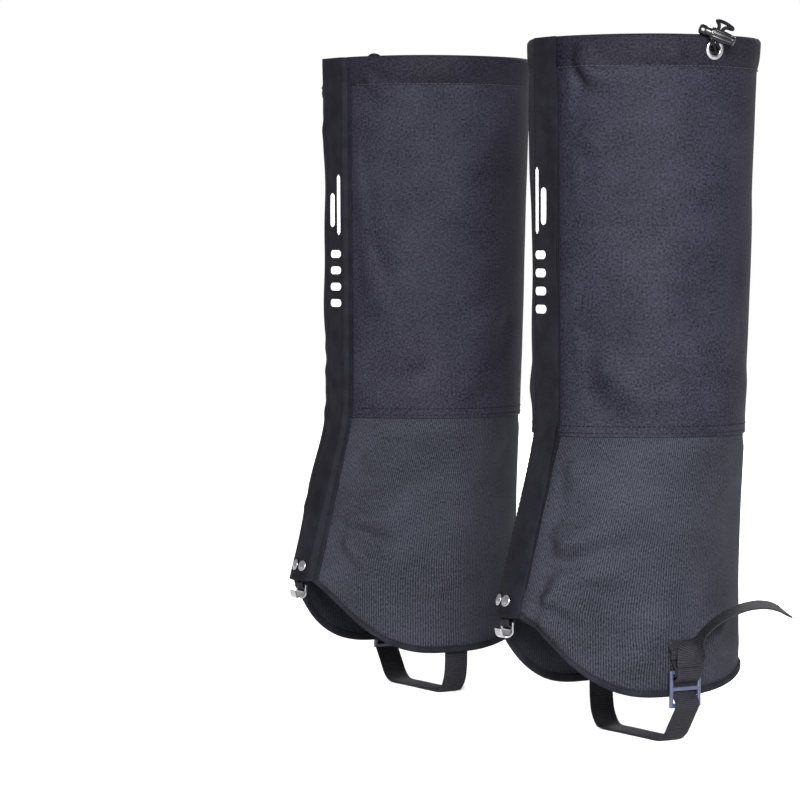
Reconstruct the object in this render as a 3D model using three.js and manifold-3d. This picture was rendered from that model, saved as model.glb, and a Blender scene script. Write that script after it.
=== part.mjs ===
// A pair of calf-height hiking gaiters, as they stand when worn.
// Millimetres, +Z up. The wearer faces -Y and the wearer's left is +X.
// The origin is midway between the legs, level with the upper faces of the instep straps.
// Each gaiter is made in its own frame, as the left one: X points outwards, away from the
// other leg, and the leg's axis is X = Y = 0. The right one is its mirror image.

import * as THREE from 'three';
import { mergeVertices } from 'three/addons/utils/BufferGeometryUtils.js';
import Module from 'manifold-3d';

const wasm = await Module();
wasm.setup();

// ---------------------------------------------------------------- driving dimensions

const LEG_SPACING = 290;

// Heights of the levels that shape the tube.
const RIM_Z = 487;
const CASING_Z = 463;
const SEAM_Z = 213;
const FLAP_END_Z = 88;
const FRONT_HEM_Z = 89;
const SIDE_HEM_Z = 31;
const HEEL_HEM_Z = 45;

// Half width, front reach and back reach of the tube's section, at three levels.
const TOP_SECTION = { half: 80, front: 81, back: 79 };
const ANKLE_SECTION = { half: 71, front: 79, back: 72 };
const FOOT_SECTION = { half: 51, front: 115, back: 76 };

// Cloth and webbing thicknesses, and the gap kept between pieces that touch.
const CLOTH = 1.0;
const CASING_CLOTH = 0.8;
const BINDING_CLOTH = 0.7;
const BINDING_WIDTH = 5.5;
const TAB_TAPE = 1.0;
const WEBBING = 1.4;
const GAP = 0.4;

// The front opening: the two edges of the body cloth, and the flap that covers them.
const UNDERLAP_X = -9.5;
const BODY_EDGE_X = -12.6;
const FLAP_HINGE_X = -12.5;
const FLAP_FREE_X = 15.5;
const FLAP_SEAM_X = -17.5;
const TAPE_X = [-8, 13];
const TAPE_Z = [108, 458];
const LOOP_TAPE_OFFSET = 0.5;
const HOOK_TAPE_OFFSET = 2.0;
const TAPE_THICKNESS = 1.0;
const FLAP_OFFSET = 3.6;
const FLAP_CLOTH = 1.2;
const SNAP_X = [-6, 3];
const SNAP_Z = 99;
const SNAP_SHANK = 1.5;

// The drawcord, its eyelet and its lock.
const CORD_RADIUS = 1.25;
const CORD_SIDES = 8;
const CORD_OFFSET = -0.37;
const EYELET = new THREE.Vector3(82.45, 0, 476.5);
const EYELET_AXIS = new THREE.Vector3(1, 0, -0.116);
const EYELET_BORE = 3.7;
const EYELET_CUT = 4.8;
const LOCK_CENTRE = new THREE.Vector3(89.3, -2.0, 485.5);
const LOCK_AXIS = new THREE.Vector3(0.5, 0.78, -0.38).normalize();
const LOCK_CENTRE_S = 14.1;

// The stirrup: the strap, its buckle and the patches that hold them.
const STRAP_Y = -3;
const STRAP_WIDTH = 20;
const BUCKLE_X = [54.4, 56.8];
const BUCKLE_WIDTH = 26;
const BUCKLE_SIDE = 2.6;
const BUCKLE_BAR_Z = [[24, 27], [35.5, 38.5], [47, 50]];

// The lace hook under the end of the flap.
const HOOK_BAR = { y: -113.6, z: 84 };
const HOOK_TAB_WIDTH = 10;
const HOOK_WIDTH = 15;
const HOOK_PLATE = 1.2;

// Columns round a tube: the same in every layer, so that their facets lie parallel.
const TUBE_COLUMNS = 36;

// ---------------------------------------------------------------- materials

const paint = (color, roughness, metalness = 0) =>
  new THREE.MeshStandardMaterial({ color, roughness, metalness });
const PANEL_CLOTH = paint(0x464551, 0.85);
const GUARD_CLOTH = paint(0x4a4b57, 0.95);
const BLACK_CLOTH = paint(0x282730, 0.9);
const TAPE_PILE = paint(0x1c1c20, 1.0);
const BLACK_WEBBING = paint(0x33323a, 0.95);
const BLACK_CORD = paint(0x18181b, 0.8);
const BLACK_PLASTIC = paint(0x141416, 0.3);
const GREY_PLASTIC = paint(0x474c60, 0.45);
const BRIGHT_METAL = paint(0xc9c9cc, 0.3, 1);

// ---------------------------------------------------------------- helpers

const mix = THREE.MathUtils.lerp;
const ease = (t) => THREE.MathUtils.smoothstep(t, 0, 1);
const clamp01 = (t) => THREE.MathUtils.clamp(t, 0, 1);
const vec = (x, y, z) => new THREE.Vector3(x, y, z);

// Keeps positions only, merges shared corners and drops triangles of no area.
function bare(geometry) {
  geometry.deleteAttribute('normal');
  geometry.deleteAttribute('uv');
  const merged = mergeVertices(geometry, 1e-4);
  const kept = [];
  for (let i = 0; i < merged.index.count; i += 3) {
    const [a, b, c] = [0, 1, 2].map((k) => merged.index.getX(i + k));
    if (a !== b && b !== c && c !== a) kept.push(a, b, c);
  }
  merged.setIndex(kept);
  return merged;
}

// Six times the signed volume: negative when the faces point inwards.
function signedVolume(geometry) {
  const { position } = geometry.attributes;
  const corner = [vec(), vec(), vec()];
  let total = 0;
  for (let i = 0; i < geometry.index.count; i += 3) {
    corner.forEach((point, k) => point.fromBufferAttribute(position, geometry.index.getX(i + k)));
    total += corner[0].dot(corner[1].clone().cross(corner[2]));
  }
  return total;
}

// A closed body with its faces pointing out, whichever way it was swept.
function closed(geometry) {
  const body = bare(geometry);
  if (signedVolume(body) < 0) {
    const { array } = body.index;
    for (let i = 0; i < array.length; i += 3) {
      [array[i], array[i + 1]] = [array[i + 1], array[i]];
    }
  }
  return body;
}

function toSolid(geometry) {
  return new wasm.Manifold(new wasm.Mesh({
    numProp: 3,
    vertProperties: Float32Array.from(geometry.attributes.position.array),
    triVerts: Uint32Array.from(geometry.index.array),
  }));
}

function subtract(geometry, cutters) {
  const cut = cutters.reduce((body, cutter) => body.subtract(toSolid(cutter)), toSolid(geometry));
  const mesh = cut.getMesh();
  const result = new THREE.BufferGeometry();
  result.setAttribute('position', new THREE.BufferAttribute(mesh.vertProperties, 3));
  result.setIndex(new THREE.BufferAttribute(mesh.triVerts, 1));
  return result;
}

// A box of cells whose corners are moved to place(u, v, w), each from 0 to 1.
function warp(columns, rows, place) {
  const geometry = new THREE.BoxGeometry(1, 1, 1, columns, rows, 1);
  const { position } = geometry.attributes;
  for (let i = 0; i < position.count; i += 1) {
    const u = position.getX(i) + 0.5;
    const v = position.getY(i) + 0.5;
    const w = position.getZ(i) + 0.5;
    const point = place(u, v, w);
    position.setXYZ(i, point.x, point.y, point.z);
  }
  return closed(geometry);
}

// Unit normal to the right of a folded profile at one of its points, longer at a fold.
function mitre(profile, i) {
  const before = profile[Math.max(i - 1, 0)];
  const here = profile[i];
  const after = profile[Math.min(i + 1, profile.length - 1)];
  const into = new THREE.Vector2(here[0] - before[0], here[1] - before[1]).normalize();
  const out = new THREE.Vector2(after[0] - here[0], after[1] - here[1]).normalize();
  const along = into.clone().add(out).normalize();
  const reach = Math.max(along.dot(i === 0 ? out : into), 0.5);
  return new THREE.Vector2(along.y, -along.x).divideScalar(reach);
}

// Cloth of one thickness that follows a folded profile of [a, b] points.
function foldedStrip(profile, thickness, columns, place) {
  const rows = profile.length - 1;
  const normals = profile.map((point, i) => mitre(profile, i));
  return warp(columns, rows, (u, v, w) => {
    const i = Math.round(v * rows);
    const shift = (w - 0.5) * thickness;
    return place(profile[i][0] + normals[i].x * shift, profile[i][1] + normals[i].y * shift, u);
  });
}

// A turned piece: [radius, height] points, turned about an axis through a point.
function turned(profile, sides, point, axis) {
  const outline = profile.map(([radius, height]) => new THREE.Vector2(radius, height));
  const geometry = new THREE.LatheGeometry(outline, sides);
  const turn = new THREE.Quaternion().setFromUnitVectors(vec(0, 1, 0), axis.clone().normalize());
  geometry.applyQuaternion(turn);
  geometry.translate(point.x, point.y, point.z);
  return closed(geometry);
}

function cordTube(route, steps, radius = CORD_RADIUS, sides = CORD_SIDES) {
  const section = new THREE.Shape(Array.from({ length: sides }, (unused, i) => {
    const angle = (i * 2 * Math.PI) / sides;
    return new THREE.Vector2(radius * Math.cos(angle), radius * Math.sin(angle));
  }));
  const extrudePath = new THREE.CatmullRomCurve3(route, false, 'centripetal');
  return closed(new THREE.ExtrudeGeometry(section, { steps, extrudePath }));
}

function box(size, centre, turn = new THREE.Matrix4()) {
  const geometry = new THREE.BoxGeometry(size.x, size.y, size.z);
  geometry.applyMatrix4(turn);
  geometry.translate(centre.x, centre.y, centre.z);
  return closed(geometry);
}

// ---------------------------------------------------------------- the tube's shape

// Half width, front reach and back reach at a height: a cone down to the ankle, and
// below it a foot that narrows and runs forward.
function section(z) {
  const above = (z - SEAM_Z) / (RIM_Z - SEAM_Z);
  const below = clamp01((SEAM_Z - z) / (SEAM_Z - FLAP_END_Z));
  const narrowing = Math.sin((below * Math.PI) / 2);
  const blend = (key, drop) => (above > 0
    ? mix(ANKLE_SECTION[key], TOP_SECTION[key], above)
    : mix(ANKLE_SECTION[key], FOOT_SECTION[key], drop));
  return { half: blend('half', narrowing), front: blend('front', below), back: blend('back', below) };
}

// A point on the tube, at an angle from the front towards the outer side, offset outwards.
function onTube(angle, z, offset) {
  const { half, front, back } = section(z);
  const reach = Math.cos(angle) > 0 ? front : back;
  return vec((half + offset) * Math.sin(angle), -(reach + offset) * Math.cos(angle), z);
}

// A point on the front of the tube, by its distance across.
function onFront(x, z, offset) {
  const { half } = section(z);
  return onTube(Math.asin(x / (half + offset)), z, offset);
}

// The body cloth runs from the underlap's edge round the back to the flap's seam.
function bodyAngle(u, z) {
  const { half } = section(z);
  return mix(Math.asin(UNDERLAP_X / half), 2 * Math.PI + Math.asin(BODY_EDGE_X / half), u);
}

// Height of the lower hem: high over the instep, low at the sides, up again at the heel.
function hemHeight(angle) {
  const degrees = THREE.MathUtils.radToDeg(Math.acos(Math.cos(angle)));
  if (degrees > 90) return mix(SIDE_HEM_Z, HEEL_HEM_Z, ease((degrees - 90) / 90));
  return mix(SIDE_HEM_Z, FRONT_HEM_Z, ease(clamp01((82 - degrees) / 74)) ** 1.4);
}

const hemAt = (u) => hemHeight(bodyAngle(u, FRONT_HEM_Z));

// ---------------------------------------------------------------- cloth pieces

function upperPanel() {
  const top = CASING_Z + 3;
  return warp(TUBE_COLUMNS, 2, (u, v, w) => {
    const z = mix(SEAM_Z, top, v);
    return onTube(bodyAngle(u, z), z, (w - 1) * CLOTH);
  });
}

// Its lowest row of cells lies inside the binding.
function lowerPanel() {
  const rows = 7;
  return warp(TUBE_COLUMNS, rows, (u, v, w) => {
    const row = Math.round(v * rows);
    const bound = hemAt(u) + BINDING_WIDTH;
    const z = row === 0 ? hemAt(u) + 1.6 : mix(bound, SEAM_Z - GAP, (row - 1) / (rows - 1));
    return onTube(bodyAngle(u, z), z, (w - 1) * CLOTH);
  });
}

// The rim is folded into a channel for the drawcord, with a hole for the eyelet.
function topCasing() {
  const fold = { offset: -0.3, z: RIM_Z - 3.3, radius: 2.9 };
  const profile = [[0.9, CASING_Z]];
  for (let step = 0; step <= 3; step += 1) {
    const angle = (step * Math.PI) / 3;
    profile.push([fold.offset + fold.radius * Math.cos(angle), fold.z + fold.radius * Math.sin(angle)]);
  }
  profile.push([-1.9, CASING_Z]);
  const channel = foldedStrip(profile, CASING_CLOTH, TUBE_COLUMNS, (offset, z, u) =>
    onTube(bodyAngle(u, z), z, offset));
  const hole = turned([[0, -2.4], [EYELET_CUT, -2.4], [EYELET_CUT, 3], [0, 3]], 16, EYELET, EYELET_AXIS);
  return subtract(channel, [hole]);
}

// A tape folded round the lower edge of the body cloth.
function bottomBinding() {
  const profile = [[-1.8, BINDING_WIDTH], [-1.8, 0.9], [-0.5, 0.35], [0.8, 0.9], [0.8, BINDING_WIDTH]];
  return foldedStrip(profile, BINDING_CLOTH, TUBE_COLUMNS, (offset, height, u) => {
    const z = hemAt(u) + height;
    return onTube(bodyAngle(u, z), z, offset);
  });
}

// A strip down the front, with one row of corners exactly at the ankle's bend.
function frontStrip(columns, [low, high], place) {
  const below = 6;
  const rows = 10;
  return warp(columns, rows, (u, v, w) => {
    const row = Math.round(v * rows);
    const z = row < below ? mix(low, SEAM_Z, row / below) : mix(SEAM_Z, high, (row - below) / (rows - below));
    return place(u, z, w);
  });
}

// Hook and loop tapes: one sewn on the underlap, one under the flap.
function frontTape(offset) {
  return frontStrip(3, TAPE_Z, (u, z, w) => onFront(mix(...TAPE_X, u), z, offset + w * TAPE_THICKNESS));
}

// The sewn margin of the flap, which rises from the body cloth to the flap's fold.
function flapSeam() {
  return frontStrip(2, [FRONT_HEM_Z + 9, CASING_Z - 3], (u, z, w) => {
    const rise = clamp01(2 * u - 1) * (FLAP_OFFSET - LOOP_TAPE_OFFSET);
    const x = mix(FLAP_SEAM_X, FLAP_HINGE_X - GAP, u);
    return onFront(x, z, LOOP_TAPE_OFFSET + rise + w * FLAP_CLOTH);
  });
}

// A frame on the front of the tube: a point offset outwards, and the cloth's normal there.
function frontFrame(x, z, offset) {
  const point = onFront(x, z, offset);
  const across = onFront(x + 1, z, offset).sub(point);
  const upwards = onFront(x, z + 1, offset).sub(point);
  return { point, normal: across.cross(upwards).normalize() };
}

// The flap, with a hole for the shank of each snap.
function frontFlap() {
  const sheet = frontStrip(6, [FLAP_END_Z, RIM_Z], (u, z, w) =>
    onFront(mix(FLAP_HINGE_X, FLAP_FREE_X, u), z, FLAP_OFFSET + w * FLAP_CLOTH));
  const holes = SNAP_X.map((x) => {
    const { point, normal } = frontFrame(x, SNAP_Z, FLAP_OFFSET);
    const reach = SNAP_SHANK + GAP;
    return turned([[0, -3], [reach, -3], [reach, 4], [0, 4]], 10, point, normal);
  });
  return subtract(sheet, holes);
}

// A snap's cap on the flap, with its shank and the socket under the flap.
function snapCap(x) {
  const { point, normal } = frontFrame(x, SNAP_Z, FLAP_OFFSET);
  const top = FLAP_CLOTH + 0.6;
  const profile = [
    [0, -0.9], [3.6, -0.9], [3.6, -0.6], [SNAP_SHANK, -0.6], [SNAP_SHANK, top],
    [4.0, top], [3.8, top + 0.6], [2.2, top + 1.1], [0, top + 1.2],
  ];
  return turned(profile, 10, point, normal);
}

// The stud that the snap closes on, riveted to the underlap.
function snapStud(x) {
  const { point, normal } = frontFrame(x, SNAP_Z, 0);
  const profile = [[0, 0.5], [3.6, 0.5], [3.6, 1.0], [2.0, 1.0], [2.0, 1.8], [0, 1.9]];
  return turned(profile, 10, point, normal);
}

// ---------------------------------------------------------------- drawcord

function eyelet() {
  const profile = [
    [EYELET_BORE, -2.6], [4.3, -2.6], [4.3, 0], [7.1, 0], [7.1, 0.4],
    [6.2, 1.1], [4.6, 1.2], [EYELET_BORE, 0.6], [EYELET_BORE, -2.6],
  ];
  return turned(profile, 18, EYELET, EYELET_AXIS);
}

function eyeletWasher() {
  const profile = [[4.7, -2.7], [6.6, -2.7], [6.6, -2.1], [4.7, -2.1], [4.7, -2.7]];
  return turned(profile, 16, EYELET, EYELET_AXIS);
}

// The cord inside the casing, between two places round the rim.
function casedCord(from, to, steps) {
  const route = Array.from({ length: steps + 1 }, (unused, i) =>
    onTube(bodyAngle(mix(from, to, i / steps), EYELET.z), EYELET.z, CORD_OFFSET));
  return cordTube(route, steps, CORD_RADIUS, 6);
}

// Axes of the cord lock: along its barrel, along the cord, and in towards the leg.
const cordAxis = vec(0, 0, 1).addScaledVector(LOCK_AXIS, -LOCK_AXIS.z).normalize();
const inwardAxis = cordAxis.clone().cross(LOCK_AXIS).normalize();

function fromLock(along, up, inward) {
  return LOCK_CENTRE.clone()
    .addScaledVector(LOCK_AXIS, along)
    .addScaledVector(cordAxis, up)
    .addScaledVector(inwardAxis, inward);
}

// The free bight: out of the eyelet, up through the lock, round above it and back.
function drawcordLoop() {
  return cordTube([
    vec(79.2, -1.6, 476.5), vec(83.6, -1.6, 476.5), vec(86.6, -2.7, 477.0),
    fromLock(-1.6, -5.4, 0), fromLock(-1.6, 0, 0), fromLock(-1.6, 5.4, 0),
    fromLock(-2.3, 7.2, 0.5), fromLock(-3.6, 8.6, 2.0), fromLock(-4.0, 9.4, 4.2),
    fromLock(-2.6, 10.0, 6.4), fromLock(0.6, 10.3, 7.6), fromLock(4.2, 9.8, 7.4),
    fromLock(7.2, 8.8, 6.2), fromLock(7.6, 7.8, 4.0), fromLock(5.4, 7.2, 2.0),
    fromLock(3.2, 6.8, 0.6), fromLock(1.6, 5.2, 0), fromLock(1.6, 0, 0),
    fromLock(1.6, -5.4, 0), vec(86.6, 0.9, 477.0), vec(83.6, 1.6, 476.5), vec(79.2, 1.6, 476.5),
  ], 40);
}

// A piece of the lock, turned about its barrel: heights run from the button's end.
function lockTurning(profile, sides) {
  return turned(profile, sides, fromLock(-LOCK_CENTRE_S, 0, 0), LOCK_AXIS);
}

function lockSlot(from, to, width, depth) {
  const turn = new THREE.Matrix4().makeBasis(LOCK_AXIS, cordAxis, inwardAxis);
  return box(vec(to - from, depth, width), fromLock((from + to) / 2 - LOCK_CENTRE_S, 0, 0), turn);
}

function cordLockBody() {
  const cup = lockTurning([
    [0, 24.4], [3.5, 24.4], [3.5, 8.6], [4.3, 8.6], [4.6, 9.6], [4.6, 18], [3.6, 25], [2.2, 26], [0, 26],
  ], 16);
  return subtract(cup, [lockSlot(10.8, 17.4, 3.2, 12)]);
}

function cordLockButton() {
  const plunger = lockTurning([
    [0, 0], [2.4, 0.4], [3.7, 1.9], [3.8, 4.2], [3.1, 5.2], [3.1, 18.4], [0, 18.4],
  ], 16);
  const eye = turned([[0, -6], [1.1, -6], [1.1, 6], [0, 6]], 8, fromLock(2.9 - LOCK_CENTRE_S, 0, 0), inwardAxis);
  return subtract(plunger, [lockSlot(7.7, 17.5, 3.2, 12), eye]);
}

function cordLockSpring() {
  const turns = 3;
  const route = Array.from({ length: turns * 8 + 1 }, (unused, i) => {
    const angle = (i * Math.PI) / 4;
    const along = mix(19.3, 23.6, i / (turns * 8)) - LOCK_CENTRE_S;
    return fromLock(along, 2.4 * Math.cos(angle), 2.4 * Math.sin(angle));
  });
  return cordTube(route, turns * 8, 0.4, 5);
}

// ---------------------------------------------------------------- stirrup

// Webbing across the strap's width, following a profile of [x, z] points.
function crossStrap(profile, thickness, width = STRAP_WIDTH) {
  return foldedStrip(profile, thickness, 1, (x, z, u) => vec(x, STRAP_Y + (u - 0.5) * width, z));
}

// From its sewn end inside the hem, under the foot and up through the buckle.
function instepStrap() {
  return crossStrap([
    [-48.0, 60], [-48.0, 46], [-46.6, 38], [-46.6, 28], [-46.2, 19], [-44.6, 10.5], [-41.2, 4],
    [-37.2, 0.2], [-33, -0.7], [33, -0.7], [38.5, 0], [44.5, 4], [49.5, 11], [54.5, 18.5],
    [58.2, 24.5], [58.0, 28.2], [54.0, 32.8], [53.3, 35.2], [53.3, 38.8], [54.4, 41],
    [58.8, 43.6], [60.7, 47], [60.7, 52],
  ], WEBBING);
}

// The loose end: it rises from the buckle, leans back and turns its face upwards.
function strapTail() {
  const route = new THREE.CatmullRomCurve3([
    vec(60.7, -3, 52.8), vec(60.8, -3, 56), vec(61.8, -1.2, 63), vec(63.5, 4.4, 72), vec(64.5, 14.4, 81),
    vec(65, 28, 88), vec(65, 42, 92), vec(64, 56, 92.6), vec(62.5, 68, 90.4), vec(61, 79, 86),
  ], false, 'centripetal');
  return warp(2, 16, (u, v, w) => {
    const tangent = route.getTangent(v);
    const flat = tangent.clone().cross(vec(1, 0, 0)).normalize();
    const tilted = vec(0.9, -0.35, -0.22).cross(tangent).cross(tangent).negate().normalize();
    const across = flat.lerp(tilted, ease(clamp01((v - 0.12) * 3.4))).normalize();
    const face = across.clone().cross(tangent).normalize();
    return route.getPoint(v)
      .addScaledVector(across, (u - 0.5) * STRAP_WIDTH)
      .addScaledVector(face, (w - 0.5) * WEBBING);
  });
}

// A patch sewn on the tube over the end of the strap (inside) or of the tab (outside).
function sewnPatch(reach, sewnX) {
  const profile = [[reach, 57.6], [reach, 62.8], [sewnX, 66.2], [sewnX, 70.5]];
  return crossStrap(profile, TAB_TAPE, STRAP_WIDTH + 4);
}

// The tab: a loop of tape folded round the buckle's upper bar.
function buckleTab() {
  return crossStrap([
    [52.0, 60], [52.1, 54], [53.1, 50.4], [53.1, 47.2], [54.2, 45.8], [57, 45.8],
    [58.1, 47.2], [58.1, 50.4], [54.8, 55], [53.5, 60],
  ], TAB_TAPE, STRAP_WIDTH);
}

// A ladder buckle: a frame with three bars and two slots.
function buckle() {
  const [bottom, middle, top] = BUCKLE_BAR_Z;
  const half = BUCKLE_WIDTH / 2;
  const corner = 2;
  const outline = new THREE.Shape();
  outline.absarc(half - corner, top[1] - corner, corner, 0, Math.PI / 2);
  outline.absarc(corner - half, top[1] - corner, corner, Math.PI / 2, Math.PI);
  outline.absarc(corner - half, bottom[0] + corner, corner, Math.PI, 1.5 * Math.PI);
  outline.absarc(half - corner, bottom[0] + corner, corner, 1.5 * Math.PI, 2 * Math.PI);
  [[bottom, middle], [middle, top]].forEach(([below, above]) => {
    const inner = half - BUCKLE_SIDE;
    outline.holes.push(new THREE.Path([
      new THREE.Vector2(-inner, below[1]), new THREE.Vector2(inner, below[1]),
      new THREE.Vector2(inner, above[0]), new THREE.Vector2(-inner, above[0]),
    ]));
  });
  const depth = BUCKLE_X[1] - BUCKLE_X[0];
  const plate = new THREE.ExtrudeGeometry(outline, { depth, bevelEnabled: false, curveSegments: 3 });
  plate.applyMatrix4(new THREE.Matrix4().makeBasis(vec(0, 1, 0), vec(0, 0, 1), vec(1, 0, 0)));
  plate.translate(BUCKLE_X[0], STRAP_Y, 0);
  return closed(plate);
}

// ---------------------------------------------------------------- lace hook

// Metal or tape across the front, following a profile of [y, z] points.
function crossFront(profile, thickness, width) {
  return foldedStrip(profile, thickness, 1, (y, z, u) => vec((u - 0.5) * width, y, z));
}

function laceHookTab() {
  const { y, z } = HOOK_BAR;
  return crossFront([
    [y + 6.2, z + 16], [y + 5.4, z + 11.5], [y + 3.9, z + 6], [y + 2.4, z + 2.4],
    [y + 2.4, z - 0.6], [y + 1.2, z - 2.4], [y - 1.2, z - 2.4], [y - 2.4, z - 0.6], [y - 2.4, z + 2.4],
  ], TAB_TAPE, HOOK_TAB_WIDTH);
}

// A plate with a slot for its tab, bent forwards into a hook.
function laceHook() {
  const { y, z } = HOOK_BAR;
  const plate = crossFront([
    [y, z + 0.8], [y, z - 6], [y - 1.2, z - 8.6], [y - 3.6, z - 9.6], [y - 6, z - 8.6], [y - 7.2, z - 4],
  ], HOOK_PLATE, HOOK_WIDTH);
  const slot = box(vec(HOOK_TAB_WIDTH + 2 * GAP, 6, 3.6), vec(0, y, z - 2.6));
  const shoulders = [-1, 1].map((side) =>
    box(vec(4, 12, 8), vec(side * (HOOK_WIDTH / 2 + 0.4), y - 6, z - 9.4)));
  return subtract(plate, [slot, ...shoulders]);
}

// ---------------------------------------------------------------- assembly

// Share of the way round the body cloth at which the eyelet sits, and the room it takes.
const EYELET_U = (Math.PI / 2 - bodyAngle(0, EYELET.z)) / (bodyAngle(1, EYELET.z) - bodyAngle(0, EYELET.z));
const EYELET_ROOM_U = 0.022;

const PIECES = [
  ['upper_panel', upperPanel(), PANEL_CLOTH],
  ['lower_panel', lowerPanel(), GUARD_CLOTH],
  ['top_casing', topCasing(), PANEL_CLOTH],
  ['bottom_binding', bottomBinding(), BLACK_CLOTH],
  ['loop_tape', frontTape(LOOP_TAPE_OFFSET), TAPE_PILE],
  ['flap_seam', flapSeam(), BLACK_CLOTH],
  ['front_flap', frontFlap(), BLACK_CLOTH],
  ['hook_tape', frontTape(HOOK_TAPE_OFFSET), TAPE_PILE],
  ['snap_cap_inner', snapCap(SNAP_X[0]), BRIGHT_METAL],
  ['snap_cap_outer', snapCap(SNAP_X[1]), BRIGHT_METAL],
  ['snap_stud_inner', snapStud(SNAP_X[0]), BRIGHT_METAL],
  ['snap_stud_outer', snapStud(SNAP_X[1]), BRIGHT_METAL],
  ['eyelet', eyelet(), BRIGHT_METAL],
  ['eyelet_washer', eyeletWasher(), BRIGHT_METAL],
  ['drawcord_front', casedCord(0.004, EYELET_U - EYELET_ROOM_U, 9), BLACK_CORD],
  ['drawcord_rear', casedCord(EYELET_U + EYELET_ROOM_U, 0.996, 24), BLACK_CORD],
  ['drawcord_loop', drawcordLoop(), BLACK_CORD],
  ['cord_lock_body', cordLockBody(), BLACK_PLASTIC],
  ['cord_lock_button', cordLockButton(), BLACK_PLASTIC],
  ['cord_lock_spring', cordLockSpring(), BRIGHT_METAL],
  ['instep_strap', instepStrap(), BLACK_WEBBING],
  ['strap_tail', strapTail(), BLACK_WEBBING],
  ['strap_patch', sewnPatch(-46.3, -48.6), BLACK_WEBBING],
  ['tab_patch', sewnPatch(56.0, 52.0), BLACK_WEBBING],
  ['buckle_tab', buckleTab(), BLACK_WEBBING],
  ['buckle', buckle(), GREY_PLASTIC],
  ['lace_hook_tab', laceHookTab(), BLACK_WEBBING],
  ['lace_hook', laceHook(), BRIGHT_METAL],
];

function gaiter(prefix, side) {
  const group = new THREE.Group();
  PIECES.forEach(([name, geometry, material]) => {
    const mesh = new THREE.Mesh(geometry, material);
    mesh.name = `${prefix}_${name}`;
    group.add(mesh);
  });
  group.position.x = (side * LEG_SPACING) / 2;
  group.scale.x = side;
  return group;
}

const gaiters = new THREE.Group();
gaiters.add(gaiter('left', 1), gaiter('right', -1));

export default gaiters;
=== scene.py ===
import math

import bpy
import numpy as np
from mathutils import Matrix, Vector


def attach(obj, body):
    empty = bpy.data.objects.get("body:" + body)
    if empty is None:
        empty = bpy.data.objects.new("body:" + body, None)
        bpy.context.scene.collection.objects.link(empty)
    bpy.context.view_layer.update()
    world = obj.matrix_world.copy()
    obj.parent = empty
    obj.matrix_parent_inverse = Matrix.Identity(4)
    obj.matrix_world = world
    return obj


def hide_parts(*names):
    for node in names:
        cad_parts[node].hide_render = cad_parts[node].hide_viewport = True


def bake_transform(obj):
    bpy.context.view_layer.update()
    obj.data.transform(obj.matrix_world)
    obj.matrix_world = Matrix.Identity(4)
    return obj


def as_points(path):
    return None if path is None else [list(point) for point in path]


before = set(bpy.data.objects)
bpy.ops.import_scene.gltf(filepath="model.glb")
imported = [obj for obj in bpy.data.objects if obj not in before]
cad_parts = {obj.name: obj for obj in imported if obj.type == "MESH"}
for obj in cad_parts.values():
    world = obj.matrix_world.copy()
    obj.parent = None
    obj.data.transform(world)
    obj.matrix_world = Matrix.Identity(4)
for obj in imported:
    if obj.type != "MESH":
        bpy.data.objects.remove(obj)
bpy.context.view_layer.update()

# A pair of hiking gaiters. Metres, +Z up, the wearer faces -Y.
# Each gaiter is made in its own frame, as the left one: X points outwards, away from the other
# leg, and the leg's axis is X = Y = 0. The right one is its mirror image.

# -------- sizes

LEG_OFFSET = 0.145
RIM_Z = 0.487
CASING_Z = 0.463
SEAM_Z = 0.213
FLAP_END_Z = 0.088
CLOTH = 0.0008
FOLDED_CLOTH = 0.0007
CLOTH_COLUMNS = 260
HEM_FRONT_Z = 0.089
MM_PER_DEGREE = 1.31

FLAP_SEAM_X = -0.0175
FLAP_HINGE_X = -0.0125
FLAP_FREE_X = 0.0155
FLAP_OFFSET = 0.0036
FLAP_CLOTH = 0.0012

STRAP_Y = -0.003
STRAP_WIDTH = 0.020
WEBBING = 0.0014
RIB_PITCH = 0.0021
# Places across a strap, as shares of its half width, closer together at its soft edges.
STRAP_SHARES = np.array([-1, -0.97, -0.9, -0.8, -0.6, -0.4, -0.2, 0, 0.2, 0.4, 0.6, 0.8, 0.9, 0.97, 1])

CORD_RADIUS = 0.00125
EYELET = np.array([0.08245, 0.0, 0.4765])
EYELET_AXIS = np.array([1.0, 0.0, -0.116])
LOCK_CENTRE = np.array([0.0893, -0.0020, 0.4855])
LOCK_CENTRE_S = 0.0141
HOOK_BAR = np.array([0.0, -0.1136, 0.084])

SIDES = {"left": 1, "right": -1}


def unit(vector):
    return np.asarray(vector, float) / np.linalg.norm(vector)


def unit_rows(vectors):
    return vectors / np.linalg.norm(vectors, axis=1, keepdims=True)


def mix(a, b, t):
    return a + (b - a) * t


def ease(t):
    t = np.clip(t, 0, 1)
    return t * t * (3 - 2 * t)


def bump(t):
    return np.exp(-t * t)


# -------- the tube's shape


def section(z):
    """Half width, front reach and back reach of the tube at a height."""
    above = (z - SEAM_Z) / (RIM_Z - SEAM_Z)
    drop = (SEAM_Z - z) / (SEAM_Z - FLAP_END_Z)
    below = np.clip(drop, 0, 1)
    narrowing = np.sin(below * math.pi / 2)
    soft = np.clip((drop + np.sqrt(drop * drop + 0.01)) / 2, 0, 1)
    half = np.where(above > 0, mix(0.071, 0.080, above), mix(0.071, 0.051, narrowing))
    front = mix(0.079, 0.081, np.clip(above, 0, 1)) + 0.036 * soft
    back = np.where(above > 0, mix(0.072, 0.079, above), mix(0.072, 0.076, below))
    return half, front, back


def on_tube(angle, z, offset):
    """A point on the tube, at an angle from the front towards the outer side, offset outwards."""
    half, front, back = section(z)
    reach = np.where(np.cos(angle) > 0, front, back)
    x = (half + offset) * np.sin(angle)
    y = -(reach + offset) * np.cos(angle)
    return np.stack(np.broadcast_arrays(x, y, z), -1)


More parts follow.
